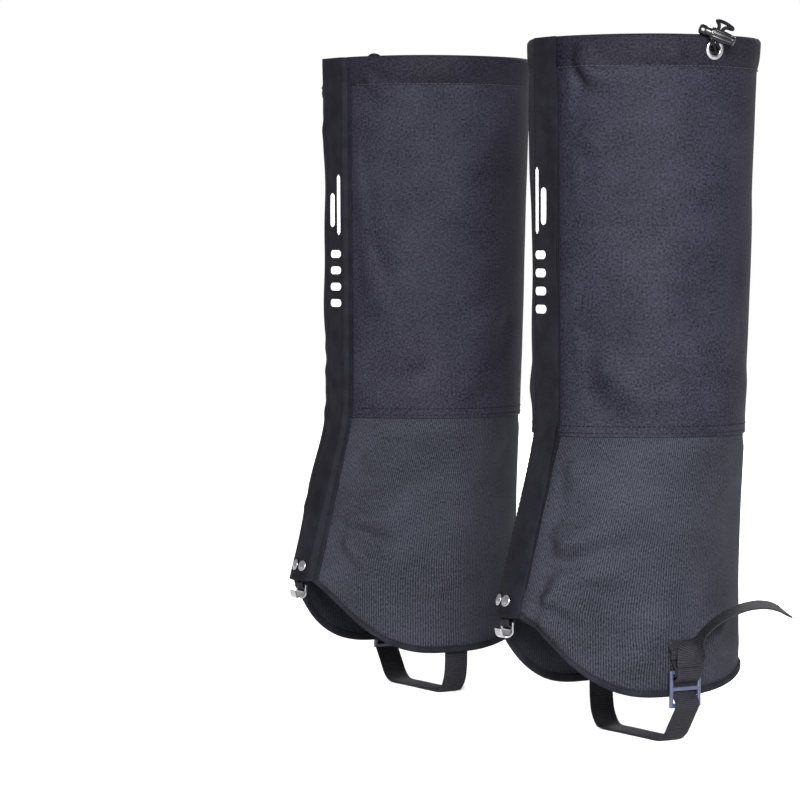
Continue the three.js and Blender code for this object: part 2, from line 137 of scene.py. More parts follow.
def front_angle(x, z, offset=0.0):
    half = section(z)[0]
    return np.arcsin(x / (half + offset))


def on_front(x, z, offset):
    return on_tube(front_angle(x, z, offset), z, offset)


def body_angle(u, z):
    """Angle at a share u of the way round the body cloth, from under the flap round the back."""
    half = section(z)[0]
    return mix(np.arcsin(-0.0095 / half), 2 * math.pi + np.arcsin(-0.0126 / half), u)


def hem_height(angle):
    """Height of the lower hem: high over the instep, low at the sides, up again at the heel."""
    degrees = np.degrees(np.arccos(np.cos(angle)))
    rear = mix(0.031, 0.045, ease((degrees - 90) / 90))
    fore = mix(0.031, HEM_FRONT_Z, ease((82 - degrees) / 74) ** 1.4)
    return np.where(degrees > 90, rear, fore)


def hem_at(u):
    """Height of the hem at a share u of the way round the body cloth."""
    return hem_height(body_angle(u, HEM_FRONT_Z + 0 * u))


# -------- folds of the cloth

# Each fold runs from one place to another, given as degrees from the front and height in mm.
# Then come its width and height in mm. A fold is strongest near its start and fades out.
# All of the heights are raised by FOLD_GAIN.
FOLD_GAIN = 2.6
FOLDS = {
    "left": [
        (14, 474, 52, 448, 6, 1.9), (20, 484, 36, 436, 7, 1.5), (66, 474, 100, 462, 6, 0.9),
        (27, 266, 74, 236, 12, 1.8), (80, 246, 46, 226, 8, 0.9), (118, 296, 78, 262, 12, 0.7),
        (150, 250, 112, 236, 10, 0.5), (20, 196, 44, 168, 9, 1.3), (132, 190, 92, 160, 9, 1.1),
        (24, 106, 62, 84, 8, 4.2), (25, 112, 76, 126, 10, 3.4), (24, 98, 54, 60, 8, 3.2),
        (26, 126, 68, 168, 11, 3.0), (96, 62, 70, 92, 9, 1.9), (88, 60, 52, 58, 9, 1.8),
        (20, 150, 58, 132, 9, 1.4), (18, 420, 42, 404, 7, 0.8), (20, 300, 46, 286, 8, 0.8),
        (104, 62, 138, 100, 8, 1.5), (112, 58, 160, 66, 6, 1.3), (15, 440, 19, 350, 5, 0.8),
        (16, 330, 24, 236, 6, 0.9), (170, 420, 150, 330, 12, 1.1), (205, 260, 160, 232, 9, 1.3),
        (230, 160, 190, 120, 9, 1.5), (250, 240, 292, 212, 10, 0.8), (300, 120, 262, 86, 8, 1.5),
        (318, 460, 290, 400, 10, 0.6), (338, 240, 300, 260, 10, 0.5), (334, 118, 300, 150, 9, 0.9),
        (268, 60, 300, 74, 6, 1.3),
    ],
    "right": [
        (340, 470, 312, 452, 5, 1.1), (300, 262, 330, 246, 8, 0.9), (262, 246, 292, 226, 8, 1.0),
        (338, 352, 322, 268, 7, 0.8), (250, 300, 276, 268, 11, 0.9), (332, 124, 300, 92, 7, 2.6),
        (334, 138, 290, 132, 9, 2.0), (330, 190, 300, 158, 9, 1.5), (268, 62, 294, 96, 7, 1.4),
        (262, 60, 232, 86, 7, 1.2), (240, 200, 268, 172, 9, 1.0), (345, 440, 341, 330, 5, 0.8),
        (24, 104, 60, 84, 7, 2.2), (26, 122, 66, 150, 9, 1.7), (28, 262, 70, 240, 8, 1.3),
        (96, 62, 72, 92, 7, 1.5), (104, 62, 138, 100, 8, 1.4), (15, 470, 48, 448, 5, 1.2),
        (150, 250, 112, 236, 8, 1.1), (205, 260, 170, 232, 9, 1.2), (180, 130, 220, 90, 9, 1.3),
        (120, 400, 96, 330, 12, 0.9),
    ],
}

# Places where pieces are sewn on, which keep the cloth flat: degrees, height and reach in mm.
FLAT_PLACES = [(90, 476, 16), (92, 63, 15), (268, 63, 15)]


def fold_height(degrees, height, fold):
    """Height in mm of one fold at the places given, with the hollow that runs beside it."""
    from_angle, from_z, to_angle, to_z, width, rise = fold
    along_x = (to_angle - from_angle) * MM_PER_DEGREE
    along_z = to_z - from_z
    length = math.hypot(along_x, along_z)
    dx = (degrees - from_angle) * MM_PER_DEGREE
    dz = height - from_z
    t = (dx * along_x + dz * along_z) / length**2
    wander = 0.25 * width * np.sin(t * 5 + from_z)
    across = (dx * along_z - dz * along_x) / length + wander
    spread = width * (0.7 + 0.9 * np.clip(t, 0, 1))
    strength = ease(t / 0.22) * ease((1 - t) / 0.55)
    return rise * strength * (bump(across / spread) - 0.55 * bump(across / spread - 1.7))


def relief(side, angle, z):
    """How far the cloth stands out of the plain tube."""
    angle, z = np.broadcast_arrays(angle, z)
    degrees = np.degrees(angle) % 360
    height = z * 1000
    phase = 0.0 if side == "left" else 2.1
    total = 0.9 * np.sin(3 * angle + height / 43 + phase) * np.sin(height / 71 + 1.3 + phase)
    total = total + 0.5 * np.sin(5 * angle - height / 29 + 2 * phase)
    total = total + 0.2 * np.sin(11 * angle + height / 13 + phase) * np.sin(height / 17)
    for fold in FOLDS[side]:
        total = total + FOLD_GAIN * fold_height(degrees, height, fold)
    seam = bump((height - SEAM_Z * 1000) / 7) * (0.14 * np.sin(degrees * 2.9 + phase) - 0.5)
    hem = bump((height - 465) / 5) * (0.16 * np.sin(degrees * 3.7 + phase) - 0.3)
    total = total + seam + hem
    from_front = np.minimum(degrees, 360 - degrees) * MM_PER_DEGREE
    open_cloth = ease((from_front - 19) / 12)
    for place, level, reach in FLAT_PLACES:
        distance = np.hypot((degrees - place) * MM_PER_DEGREE, height - level)
        open_cloth = open_cloth * ease((distance - reach) / 12)
    behind = 1 - 0.6 * ease((np.abs(degrees - 180) - 75) / -25)
    return total * open_cloth * behind / 1000


# -------- meshes


def placed(side, points):
    """Moves points from a gaiter's own frame into the row frame."""
    points = np.array(points, float)
    points[..., 0] = SIDES[side] * (LEG_OFFSET + points[..., 0])
    return points


def signed_volume(points, faces):
    """Six times the volume inside the faces, below zero where they point inwards."""
    triangles = [(face[0], b, c) for face in faces for b, c in zip(face[1:-1], face[2:])]
    first, second, third = np.array(triangles).T
    return np.einsum("ij,ij->", points[first], np.cross(points[second], points[third]))


def make_mesh(name, points, faces, uv=None, sharp=40):
    """A mesh object whose faces point outwards, smooth but for its sharp edges."""
    if signed_volume(points, faces) < 0:
        faces = [tuple(reversed(face)) for face in faces]
    mesh = bpy.data.meshes.new(name)
    mesh.from_pydata([tuple(p) for p in points], [], [tuple(int(i) for i in f) for f in faces])
    if uv is not None:
        layer = mesh.uv_layers.new(name="cloth")
        corners = np.zeros(len(mesh.loops), np.int32)
        mesh.loops.foreach_get("vertex_index", corners)
        layer.data.foreach_set("uv", np.asarray(uv, np.float32)[corners].ravel())
    mesh.shade_smooth()
    mesh.set_sharp_from_angle(angle=math.radians(sharp))
    obj = bpy.data.objects.new(name, mesh)
    bpy.context.scene.collection.objects.link(obj)
    return obj


def grid_faces(rows, cols, across=False):
    """Quads of a grid of points, joined end to end across its columns or left open."""
    faces = []
    for i in range(rows - 1):
        for j in range(cols if across else cols - 1):
            k = (j + 1) % cols
            faces.append((i * cols + j, i * cols + k, (i + 1) * cols + k, (i + 1) * cols + j))
    return faces


def sheet_parts(outer, inner, uv):
    """Points, faces and flat map of a closed sheet between two grids of points."""
    rows, cols = outer.shape[:2]
    count = rows * cols
    points = np.concatenate([outer.reshape(-1, 3), inner.reshape(-1, 3)])
    faces = grid_faces(rows, cols)
    faces += [tuple(i + count for i in reversed(face)) for face in grid_faces(rows, cols)]
    loop = [j for j in range(cols)]
    loop += [i * cols + cols - 1 for i in range(1, rows)]
    loop += [(rows - 1) * cols + j for j in range(cols - 2, -1, -1)]
    loop += [i * cols for i in range(rows - 2, 0, -1)]
    faces += [(b, a, a + count, b + count) for a, b in zip(loop, loop[1:] + loop[:1])]
    return points, faces, np.concatenate([uv.reshape(-1, 2)] * 2)


def sheet_mesh(name, outer, inner, uv, sharp=50):
    points, faces, flat = sheet_parts(outer, inner, uv)
    return make_mesh(name, points, faces, flat, sharp)


def joined(name, parts, sharp=40):
    """One mesh of several separate bodies, each given as points, faces and flat map."""
    points, faces, flat, start = [], [], [], 0
    for part_points, part_faces, part_flat in parts:
        points.append(part_points)
        flat.append(part_flat)
        faces += [tuple(i + start for i in face) for face in part_faces]
        start += len(part_points)
    return make_mesh(name, np.concatenate(points), faces, np.concatenate(flat), sharp)


def distances(path):
    """Distance travelled along a path at each of its points."""
    return np.concatenate([[0], np.cumsum(np.linalg.norm(np.diff(path, axis=0), axis=1))])


def sampled(where, travelled, values):
    """Values given along a path, read at other distances along it."""
    return np.stack([np.interp(where, travelled, line) for line in values.T], -1)


def smooth_path(knots, count):
    """Points along a smooth curve through the knots, evenly spaced."""
    knots = np.asarray(knots, float)
    padded = np.vstack([2 * knots[0] - knots[1], knots, 2 * knots[-1] - knots[-2]])
    dense = []
    for p0, p1, p2, p3 in zip(padded, padded[1:], padded[2:], padded[3:]):
        gaps = [max(np.linalg.norm(b - a) ** 0.5, 1e-9) for a, b in ((p0, p1), (p1, p2), (p2, p3))]
        m1 = (p2 - p1) + gaps[1] * ((p1 - p0) / gaps[0] - (p2 - p0) / (gaps[0] + gaps[1]))
        m2 = (p2 - p1) + gaps[1] * ((p3 - p2) / gaps[2] - (p3 - p1) / (gaps[1] + gaps[2]))
        for t in np.linspace(0, 1, 24, endpoint=False):
            cubic = (2 * t**3 - 3 * t**2 + 1) * p1 + (t**3 - 2 * t**2 + t) * m1
            dense.append(cubic + (3 * t**2 - 2 * t**3) * p2 + (t**3 - t**2) * m2)
    dense = np.array(dense + [knots[-1]])
    travelled = distances(dense)
    return sampled(np.linspace(0, travelled[-1], count), travelled, dense)


def path_length(path):
    return float(np.linalg.norm(np.diff(path, axis=0), axis=1).sum())


def profile_sides(profile):
    """Unit normals of a profile of [a, b] points, to its right."""
    tangent = unit_rows(np.gradient(profile, axis=0))
    return np.stack([tangent[:, 1], -tangent[:, 0]], -1)


def turned_parts(profile, sides, point, axis):
    """Points and faces of a profile of (radius, height) turned about an axis through a point."""
    axis = unit(axis)
    first = unit(np.cross(axis, [0.3, 0.9, 0.31]))
    second = np.cross(axis, first)
    points, faces, rings = [], [], []
    for radius, height in profile:
        centre = point + height * axis
        if radius < 1e-7:
            rings.append([len(points)])
            points.append(centre)
            continue
        rings.append(list(range(len(points), len(points) + sides)))
        for k in range(sides):
            angle = 2 * math.pi * k / sides
            points.append(centre + radius * (math.cos(angle) * first + math.sin(angle) * second))
    for low, high in zip(rings, rings[1:]):
        for k in range(sides):
            n = (k + 1) % sides
            if len(low) == 1:
                faces.append((low[0], high[n], high[k]))
            elif len(high) == 1:
                faces.append((low[k], low[n], high[0]))
            else:
                faces.append((low[k], low[n], high[n], high[k]))
    return np.array(points), faces


def turned(name, side, profile, sides, point, axis, sharp=40):
    """A mesh of a turned profile given in mm."""
    points, faces = turned_parts(np.array(profile) / 1000, sides, point, axis)
    return make_mesh(name, placed(side, points), faces, sharp=sharp)


def cut(obj, cutter):
    """Takes the cutter's body out of a piece, and removes the cutter."""
    modifier = obj.modifiers.new("cut", "BOOLEAN")
    modifier.operation = "DIFFERENCE"
    modifier.solver = "EXACT"
    modifier.object = cutter
    bpy.context.view_layer.update()
    shape = bpy.data.meshes.new_from_object(obj.evaluated_get(bpy.context.evaluated_depsgraph_get()))
    obj.modifiers.clear()
    obj.data = shape
    shape.shade_smooth()
    shape.set_sharp_from_angle(angle=math.radians(35))
    bpy.data.objects.remove(cutter)


def rounded(obj, width, segments=3):
    """Rounds the sharp edges of a moulded or pressed piece."""
    modifier = obj.modifiers.new("rounded", "BEVEL")
    modifier.width = width
    modifier.segments = segments
    modifier.limit_method = "ANGLE"
    modifier.angle_limit = math.radians(35)
    modifier.harden_normals = True


# -------- materials


class Nodes:
    """Short names for the nodes of one material."""

    def __init__(self, name):
        self.material = bpy.data.materials.new(name)
        self.material.use_nodes = True
        self.tree = self.material.node_tree
        self.shader = next(n for n in self.tree.nodes if n.type == "BSDF_PRINCIPLED")
        self.flat = self.add("ShaderNodeTexCoord").outputs["UV"]
        self.place = self.add("ShaderNodeTexCoord").outputs["Object"]

    def put(self, socket, value):
        """Sets a socket to a number or a vector, or links another node's output to it."""
        if isinstance(value, bpy.types.NodeSocket):
            self.tree.links.new(value, socket)
        else:
            socket.default_value = value

    def add(self, kind, sockets=None, **values):
        node = self.tree.nodes.new(kind)
        for key, value in values.items():
            setattr(node, key, value)
        for key, value in (sockets or {}).items():
            self.put(node.inputs[key], value)
        return node

    def scaled(self, source, scale):
        return self.add("ShaderNodeMapping", {"Scale": scale, "Vector": source}).outputs["Vector"]

    def noise(self, source, scale, detail, roughness=0.5):
        sockets = {"Scale": scale, "Detail": detail, "Roughness": roughness, "Vector": source}
        return self.add("ShaderNodeTexNoise", sockets).outputs["Fac"]

    def wave(self, source, scale, direction, distortion=0.0):
        sockets = {"Scale": scale, "Distortion": distortion, "Detail Scale": 6.0, "Vector": source}
        return self.add("ShaderNodeTexWave", sockets, bands_direction=direction).outputs["Fac"]

    def math(self, operation, first, second):
        return self.add("ShaderNodeMath", {0: first, 1: second}, operation=operation).outputs[0]

    def between(self, factor, low, high):
        sockets = {"To Min": low, "To Max": high, "Value": factor}
        return self.add("ShaderNodeMapRange", sockets).outputs[0]

    def colours(self, factor, dark, light, low=0.3, high=0.7):
        node = self.add("ShaderNodeValToRGB", {"Fac": factor})
        for stop, position, colour in zip(node.color_ramp.elements, (low, high), (dark, light)):
            stop.position = position
            stop.color = (*colour, 1)
        return node.outputs["Color"]

    def relief(self, height, strength, distance):
        sockets = {"Strength": strength, "Distance": distance, "Height": height}
        normal = self.add("ShaderNodeBump", sockets).outputs["Normal"]
        self.put(self.shader.inputs["Normal"], normal)

    def set(self, **values):
        names = {"base": "Base Color", "rough": "Roughness", "metal": "Metallic",
                 "specular": "Specular IOR Level"}
        for key, value in values.items():
            self.put(self.shader.inputs[names[key]], value)


def weave(nodes, source, across, along):
    """Threads crossing at right angles, as a height from 0 to 1."""
    first = nodes.wave(source, across, "X")
    second = nodes.wave(source, along, "Y")
    return nodes.math("MULTIPLY", first, second)


def smooth_cloth(name, dark, light):
    """Tightly woven, lightly coated polyester."""
    n = Nodes(name)
    threads = weave(n, n.flat, 420, 420)
    cloud = n.noise(n.flat, 26, 5, 0.6)
    grain = n.noise(n.flat, 640, 2, 0.8)
    tint = n.math("ADD", n.math("MULTIPLY", cloud, 0.2), n.math("MULTIPLY", threads, 0.15))
    tint = n.math("ADD", tint, n.math("MULTIPLY", grain, 0.65))
    n.set(base=n.colours(tint, dark, light, 0.34, 0.62), rough=0.62, specular=0.04)
    n.relief(n.math("ADD", threads, n.math("MULTIPLY", n.noise(n.flat, 900, 2), 0.6)), 0.35, 0.0003)
    return n.material


def ribbed_cloth():
    """Coarse, hard-wearing cloth with fine upright ribs and pale flecks."""
    n = Nodes("ribbed guard cloth")
    ribs = n.wave(n.flat, 216, "X", 0.5)
    threads = n.wave(n.flat, 420, "Y", 0.8)
    flecks = n.noise(n.scaled(n.flat, (1500, 520, 1)), 1.0, 2, 0.6)
    height = n.math("ADD", n.math("MULTIPLY", ribs, 0.7), n.math("MULTIPLY", threads, 0.3))
    cloud = n.noise(n.flat, 18, 4, 0.6)
    tint = n.math("ADD", n.math("MULTIPLY", flecks, 0.62), n.math("MULTIPLY", cloud, 0.2))
    tint = n.math("ADD", tint, n.math("MULTIPLY", height, 0.22))
    colour = n.colours(tint, (0.0004, 0.0006, 0.0014), (0.0225, 0.0236, 0.0320), 0.36, 0.76)
    n.set(base=colour, rough=0.75, specular=0.06)
    n.relief(height, 0.6, 0.0006)
    return n.material


def plain_cloth(name, dark, light, rough):
    """Black cloth of the flap and the binding."""
    n = Nodes(name)
    threads = weave(n, n.flat, 380, 380)
    cloud = n.noise(n.place, 60, 4, 0.6)
    tint = n.math("ADD", n.math("MULTIPLY", cloud, 0.75), n.math("MULTIPLY", threads, 0.25))
    n.set(base=n.colours(tint, dark, light), rough=rough, specular=0.05)
    n.relief(threads, 0.4, 0.0003)
    return n.material


def webbing():
    """Woven strap: ribs across it, and a chevron of finer threads."""
    n = Nodes("webbing")
    ribs = n.wave(n.flat, 230, "Y")
    threads = n.wave(n.flat, 300, "X")
    height = n.math("ADD", n.math("MULTIPLY", ribs, 0.75), n.math("MULTIPLY", threads, 0.25))
    cloud = n.math("MULTIPLY", n.noise(n.place, 300, 3), 0.5)
    tint = n.math("ADD", n.math("MULTIPLY", height, 0.5), cloud)
    colour = n.colours(tint, (0.0015, 0.0015, 0.0021), (0.0110, 0.0108, 0.0142), 0.2, 0.8)
    n.set(base=colour, rough=0.75, specular=0.08)
    n.relief(height, 0.8, 0.0005)
    return n.material


def grained(name, dark, light, rough, scale, metal=0.0, depth=0.0, specular=0.4):
    """Moulded plastic, metal or thread: one colour with a little grain and uneven gloss."""
    n = Nodes(name)
    grain = n.noise(n.place, scale, 4, 0.6)
    gloss = n.between(grain, rough * 0.8, min(rough * 1.2, 1.0))
    n.set(base=n.colours(grain, dark, light), rough=gloss, metal=metal, specular=specular)
    if depth:
        n.relief(n.noise(n.place, scale * 6, 2), 0.3, depth)
    return n.material


FINISHES = {
    "panel_cloth": smooth_cloth("smooth woven cloth", (0.0006, 0.0005, 0.0022),
                                (0.0140, 0.0134, 0.0198)),
    # The casing is the panels' own cloth painted darker: painted shade where the light falls off towards
    # the rim.
    "casing_cloth": smooth_cloth("casing cloth with painted shade", (0.0006, 0.0005, 0.0016),
                                 (0.0090, 0.0086, 0.0128)),
    "guard_cloth": ribbed_cloth(),
    "black_cloth": plain_cloth("black cloth", (0.0012, 0.0011, 0.0022), (0.0052, 0.0050, 0.0078), 0.7),
    "binding": plain_cloth("binding tape", (0.0024, 0.0024, 0.0040), (0.0085, 0.0085, 0.0120), 0.8),
    "tape_pile": grained("hook and loop pile", (0.0012, 0.0012, 0.0018), (0.004, 0.004, 0.0056), 0.95, 900,
                         depth=0.0005, specular=0.05),
    "webbing": webbing(),
    "cord": grained("braided cord", (0.0006, 0.0006, 0.001), (0.003, 0.003, 0.0042), 0.6, 800,
                    depth=0.0001, specular=0.05),
    "black_plastic": grained("black plastic", (0.0006, 0.0006, 0.001), (0.002, 0.002, 0.003), 0.22, 200,
                             specular=0.2),
    "grey_plastic": grained("grey plastic", (0.010, 0.0125, 0.026), (0.018, 0.022, 0.042), 0.38, 260),
    "bright_metal": grained("bright metal", (0.15, 0.15, 0.162), (0.27, 0.27, 0.285), 0.27, 500, metal=1.0),
    "thread": grained("sewing thread", (0.010, 0.010, 0.015), (0.021, 0.021, 0.028), 0.7,
                      1500, specular=0.05),
    "dark_thread": grained("dark sewing thread", (0.0010, 0.0010, 0.0018), (0.0030, 0.0030, 0.0045), 0.7,
                           1500, specular=0.05),
    "pale_print": grained("pale print", (0.36, 0.36, 0.38), (0.46, 0.46, 0.48), 0.45, 350),
}


def dress(obj, finish, body=None, nodes=()):
    """Gives a piece its finish, its body and the CAD nodes that it stands for, all on its own side."""
    side = obj.name.split("_")[0]
    obj.data.materials.clear()
    obj.data.materials.append(FINISHES[finish])
    if body:
        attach(obj, f"{side}_{body}")
    if nodes:
        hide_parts(*[f"{side}_{node}" for node in nodes])
    return obj


# -------- body cloth


def cloth_grid(side, heights, offset):
    """Outer and inner grids of body cloth. heights(u) gives a column's heights from low to high."""
    u = np.linspace(0, 1, CLOTH_COLUMNS)[None, :]
    z = heights(u)
    angle = body_angle(u, z)
    stand = offset(z) + relief(side, angle, z)
    outer = on_tube(angle, z, stand)
    inner = on_tube(angle, z, stand - CLOTH)
    mean_radius = 0.076
    flat = np.stack(np.broadcast_arrays(angle * mean_radius, z), -1)
    return placed(side, outer), placed(side, inner), flat


def upper_panel(side):
    rows = np.linspace(0, 1, 150)[:, None]
    low = SEAM_Z - 0.0005

    def heights(u):
        return mix(low, CASING_Z + 0.003, rows) + 0 * u

    def offset(z):
        return 0.0003 * ease((low + 0.012 - z) / 0.009)

    return sheet_mesh(f"{side}_upper_cloth", *cloth_grid(side, heights, offset))


def lower_panel(side):
    rows = np.linspace(0, 1, 110)[:, None]

    def heights(u):
        return mix(hem_at(u) + 0.0016, SEAM_Z + 0.006, rows)

    def offset(z):
        return -0.0010 * ease((z - SEAM_Z + 0.012) / 0.009)

    return sheet_mesh(f"{side}_lower_cloth", *cloth_grid(side, heights, offset))


def eyelet_swell(angle, z):
    """The casing stands out a little where the eyelet is clenched on it."""
    distance = np.hypot((angle - math.pi / 2) * 80, (z - EYELET[2]) * 1000)
    return 0.00075 * bump(distance / 11)


def swept_round(name, side, profile, base):
    """Cloth folded to a profile of [offset, height], swept round the body. base gives its foot."""
    profile = smooth_path(np.array(profile) / 1000, 26)
    normal = profile_sides(profile)
    u = np.linspace(0, 1, CLOTH_COLUMNS)[:, None]
    grids = []
    for shift in (FOLDED_CLOTH / 2, -FOLDED_CLOTH / 2):
        line = profile + normal * shift
        z = base(u) + line[None, :, 1]
        angle = body_angle(u, z)
        centre_z = base(u) + profile[None, :, 1]
        swell = relief(side, angle, centre_z) + eyelet_swell(angle, centre_z)
        grids.append(placed(side, on_tube(angle, z, line[None, :, 0] + swell)))
    girth = 0.48
    flat = np.stack(np.broadcast_arrays(u * girth, distances(profile)[None, :]), -1)
    return sheet_mesh(name, *grids, flat)


def top_casing(side):
    fold_z, radius = 484.6, 2.1
    profile = [[-0.7, 463], [-0.25, 465.2], [0.2, 467.2], [0.9, 471], [1.35, 476], [1.5, 480]]
    for step in range(5):
        angle = step * math.pi / 4
        profile.append([-0.6 + radius * math.cos(angle), fold_z + radius * math.sin(angle)])
    profile += [[-2.7, 477], [-2.5, 470], [-2.0, 465], [-1.9, 463]]
    return swept_round(f"{side}_rim_casing", side, profile, lambda u: 0 * u)


def bottom_binding(side):
    profile = [[-1.8, 5.5], [-1.8, 3], [-1.7, 1.2], [-0.5, 0.35], [0.8, 1.2], [1.1, 3], [0.9, 5.5]]
    return swept_round(f"{side}_hem_binding", side, profile, hem_at)


# -------- stitches


def stitch_row(name, points, outward, length=0.0026, gap=0.0009, radius=0.00032):
    """Raised stitches along a path, each a small rounded bead half sunk in the cloth."""
    travelled = distances(points)
    count = int(travelled[-1] / (length + gap))
    middles = (np.arange(count) + 0.5) * travelled[-1] / count
    ring = np.linspace(0, 2 * math.pi, 6, endpoint=False)
    shape = [(-0.5, 0.35), (-0.34, 0.9), (0.0, 1.0), (0.34, 0.9), (0.5, 0.35)]
    parts = []
    for middle in middles:
        centre = sampled(middle, travelled, points)
        ahead = sampled(middle + 0.001, travelled, points)
        along = unit(ahead - sampled(middle - 0.001, travelled, points))
        normal = sampled(middle, travelled, outward)
        normal = unit(normal - np.dot(normal, along) * along)
        sideways = np.cross(along, normal)
        rings = []
        for place, size in shape:
            base = centre + along * place * length + normal * (size - 0.75) * radius
            for angle in ring:
                spoke = math.cos(angle) * sideways + math.sin(angle) * normal
                rings.append(base + radius * size * spoke)
        faces = grid_faces(5, 6, across=True) + [tuple(range(6)), tuple(range(24, 30))[::-1]]
        parts.append((np.array(rings), faces, np.zeros((30, 2))))
    return joined(name, parts, 60)


def round_path(side, z_at, stand):
    """A path round the body cloth with its outward directions."""
    u = np.linspace(0.02, 0.98, 500)
    z = z_at(u)
    angle = body_angle(u, z)
    offset = stand + relief(side, angle, z)
    here = placed(side, on_tube(angle, z, offset))
    return here, placed(side, on_tube(angle, z, offset + 0.001)) - here


def body_stitches(side):
    rows = {
        "seam": round_path(side, lambda u: SEAM_Z + 0.0065 + 0 * u, 0.0002),
        "seam_edge": round_path(side, lambda u: SEAM_Z + 0.0018 + 0 * u, 0.0003),
        "rim": round_path(side, lambda u: 0.4653 + 0 * u, 0.00055),
        "hem": round_path(side, lambda u: hem_at(u) + 0.0044, 0.0013),
    }
    for place, (points, outward) in rows.items():
        row = stitch_row(f"{side}_{place}_stitches", points, outward)
        dress(row, "thread" if place == "rim" else "dark_thread", "gaiter")


# -------- front flap


def flap_offset(x):
    """How far the inner face of the flap cloth stands off the tube."""
    rise = ease((x - FLAP_SEAM_X - 0.0018) / 0.0042)
    return mix(0.0005, FLAP_OFFSET, rise)


# Creases across the flap: height in metres, slant and depth.
FLAP_CREASES = [(0.418, 0.5, 0.5), (0.282, -0.6, 0.4), (0.222, 0.9, 0.6), (0.196, 0.7, 0.7),
                (0.158, -0.5, 0.5)]


def flap_wave(side, x, z):
    """The soft waves of the flap, largest at its free edge."""
    phase = 0.0 if side == "left" else 1.7
    share = np.clip((x - FLAP_HINGE_X) / (FLAP_FREE_X - FLAP_HINGE_X), 0, 1)
    wave = np.sin(z * 41 + phase) + 0.6 * np.sin(z * 97 + 2 * phase + x * 60)
    dents = 0.0
    for level, slant, rise in FLAP_CREASES:
        across = (z - level - slant * (x - FLAP_HINGE_X)) / 0.005
        dents = dents + rise * (bump(across) - 0.6 * bump(across - 1.6)) * ease(share * 2)
    calm = ease((z - 0.115) / 0.03)
    return (0.0007 * wave * share**2 + 0.0008 * share**3 + 0.0012 * dents) * calm


def flap_point(side, x, z, height):
    """A point on the flap in the row frame, at a height above the flap's inner face."""
    return placed(side, on_front(x, z, flap_offset(x) + height + flap_wave(side, x, z)))


def flap_low(x):
    """Lower end of the flap, with rounded corners."""
    inner = np.clip((FLAP_SEAM_X + 0.004 - x) / 0.004, 0, 1)
    outer = np.clip((x - FLAP_FREE_X + 0.004) / 0.004, 0, 1)
    corner = np.maximum(inner, outer)
    return FLAP_END_Z + 0.004 * (1 - np.sqrt(1 - corner**2 * 0.999))


def front_flap(side):
    cols = np.linspace(0, 1, 56)[None, :]
    x = mix(FLAP_SEAM_X, FLAP_FREE_X, cols)
    z = mix(flap_low(x), RIM_Z - 0.0005, np.linspace(0, 1, 220)[:, None])
    x = x + 0 * z
    edge = np.minimum(x - FLAP_SEAM_X, FLAP_FREE_X - x)
    thin = 0.0003 * (1 - ease(edge / 0.0012))
    hem = 0.0004 * ease((x - FLAP_FREE_X + 0.0065) / 0.001)
    outer = flap_point(side, x, z, FLAP_CLOTH - thin + hem)
    inner = flap_point(side, x, z, thin)
    return sheet_mesh(f"{side}_flap_cloth", outer, inner, np.stack([x, z], -1))


def bend_with_flap(side, obj):
    """Bakes a piece's placement into its mesh; the two points beside the flap's hinge that it works out are
    not used.
    """
    y, middle_z = -0.1008, 0.2875
    start = placed(side, [FLAP_HINGE_X - 0.0005, y, middle_z])
    end = placed(side, [FLAP_HINGE_X + 0.0085, y, middle_z])
    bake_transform(obj)


def flap_stitches(side):
    z = np.linspace(FLAP_END_Z + 0.004, RIM_Z - 0.003, 500)
    x = np.linspace(FLAP_SEAM_X + 0.004, FLAP_FREE_X - 0.004, 80)
    rows = {
        "flap_seam": (-0.0152 + 0 * z, z),
        "flap_fold": (-0.0112 + 0 * z, z),
        "flap_edge": (FLAP_FREE_X - 0.0062 + 0 * z, z),
        "flap_end": (x, 0.0915 + 0 * x),
    }
    for place, (x, z) in rows.items():
        here = flap_point(side, x, z, FLAP_CLOTH)
        outward = flap_point(side, x, z, FLAP_CLOTH + 0.001) - here
        row = dress(stitch_row(f"{side}_{place}_stitches", here, outward), "dark_thread")
        bend_with_flap(side, row)


def print_bar(side, centre_x, centre_z, width, height):
    """One rounded bar of the print, a thin raised shape on the flap."""
    radius = min(width, height) / 2
    rows, cols = 24, 16
    v = np.linspace(-1, 1, rows)[:, None] * height / 2
    over = np.clip(np.abs(v) - (height / 2 - radius), 0, radius * 0.999)
    half = width / 2 - radius + np.sqrt(radius**2 - over**2)
    x = centre_x + np.linspace(-1, 1, cols)[None, :] * half
    z = centre_z + v + 0 * x
    outer = flap_point(side, x, z, FLAP_CLOTH + 0.00022)
    inner = flap_point(side, x, z, FLAP_CLOTH - 0.0001)
    return sheet_parts(outer, inner, np.stack([x, z], -1))


def flap_print(side):
    """A plain generic print: two upright stripes over four short bars."""
    middle = -0.0030
    bars = [print_bar(side, middle - 0.0045, 0.3745, 0.0036, 0.046),
            print_bar(side, middle + 0.0042, 0.3705, 0.0060, 0.026)]
    for k in range(4):
        bars.append(print_bar(side, middle, 0.3370 - 0.0125 * k, 0.0135, 0.0058))
    return joined(f"{side}_flap_print", bars)


def front_frame(x, z, offset):
    """A point on the front of the tube and the direction that it faces."""
    here = on_front(x, z, offset)
    across = on_front(x + 0.001, z, offset) - here
    upwards = on_front(x, z + 0.001, offset) - here
    return here, unit(np.cross(across, upwards))


def snap_caps(side):
    profile = [(0, -0.9), (3.6, -0.9), (3.6, -0.6), (1.5, -0.6), (1.5, 1.7), (3.9, 1.7), (4.1, 1.9),
               (4.05, 2.15), (3.6, 2.45), (3.2, 2.5), (3.0, 2.42), (2.6, 2.6), (1.5, 2.95), (0, 3.05)]
    for place, x in (("inner", -0.006), ("outer", 0.003)):
        point, normal = front_frame(x, 0.099, FLAP_OFFSET)
        cap = turned(f"{side}_snap_{place}", side, profile, 40, point, normal, 50)
        dress(cap, "bright_metal", "flap", [f"snap_cap_{place}"])


# -------- drawcord and its lock

